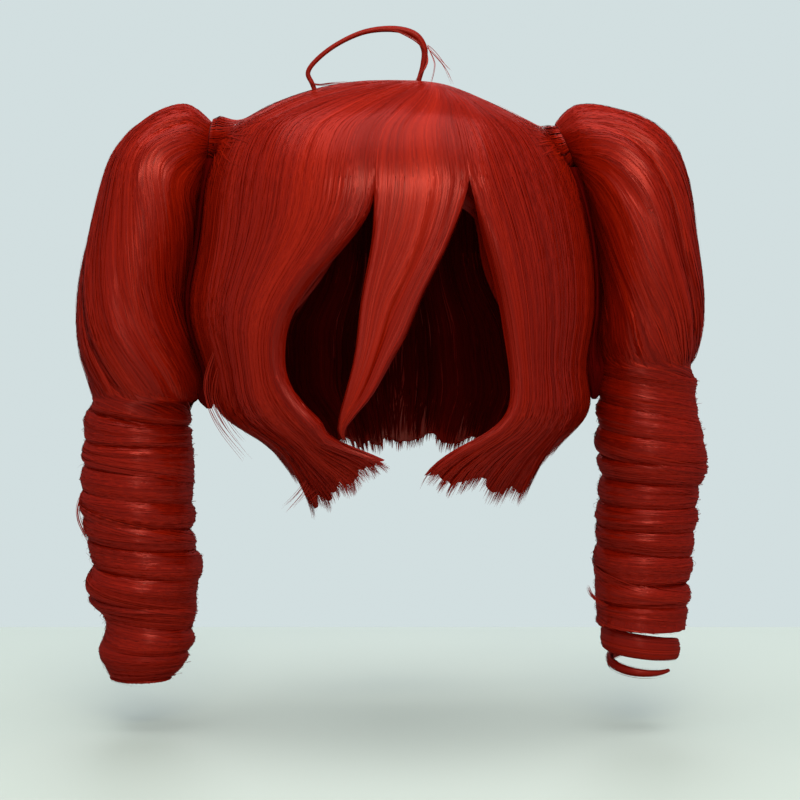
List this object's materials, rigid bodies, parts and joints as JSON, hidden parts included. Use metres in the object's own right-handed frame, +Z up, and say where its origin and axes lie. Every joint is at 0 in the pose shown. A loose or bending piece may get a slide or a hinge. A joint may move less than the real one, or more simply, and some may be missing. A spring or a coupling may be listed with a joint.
{
  "type": "pigtail wig",
  "caption": "Bob wig with long pointed front locks, high side bunches ending in long wound drill curls, and a thin loop of hair on the crown.",
  "frame": {"origin": "where the top of the head touches the inside of the crown, on the middle plane of the head", "axes": "+Z up out of the crown, the face opening looks along -Y, +X to the right of someone facing the wig's front"},
  "size_m": [0.4103, 0.2406, 0.4234],
  "materials": {
    "hair_bob": "glossy straight red synthetic hair with fine strands",
    "hair_pigtail": "glossy red synthetic hair, brushed over the bunches and wound round the curls",
    "hair_wrap": "dark red hair wound tightly round the root of each bunch",
    "hair_loop": "thin dark red bundle of strands, slightly stiff"
  },
  "bodies": {
    "root": {"crown": "hair_bob", "bang_left": "hair_bob", "bang_centre": "hair_bob", "bang_right": "hair_bob", "side_left": "hair_bob", "side_right": "hair_bob", "nape": "hair_bob", "gather_left": "hair_wrap", "gather_right": "hair_wrap", "bunch_left": "hair_pigtail", "bunch_right": "hair_pigtail", "curl_left": "hair_pigtail", "curl_right": "hair_pigtail", "curl_end_right": "hair_pigtail", "hair_loop": "hair_loop"}
  },
  "joints": []
}
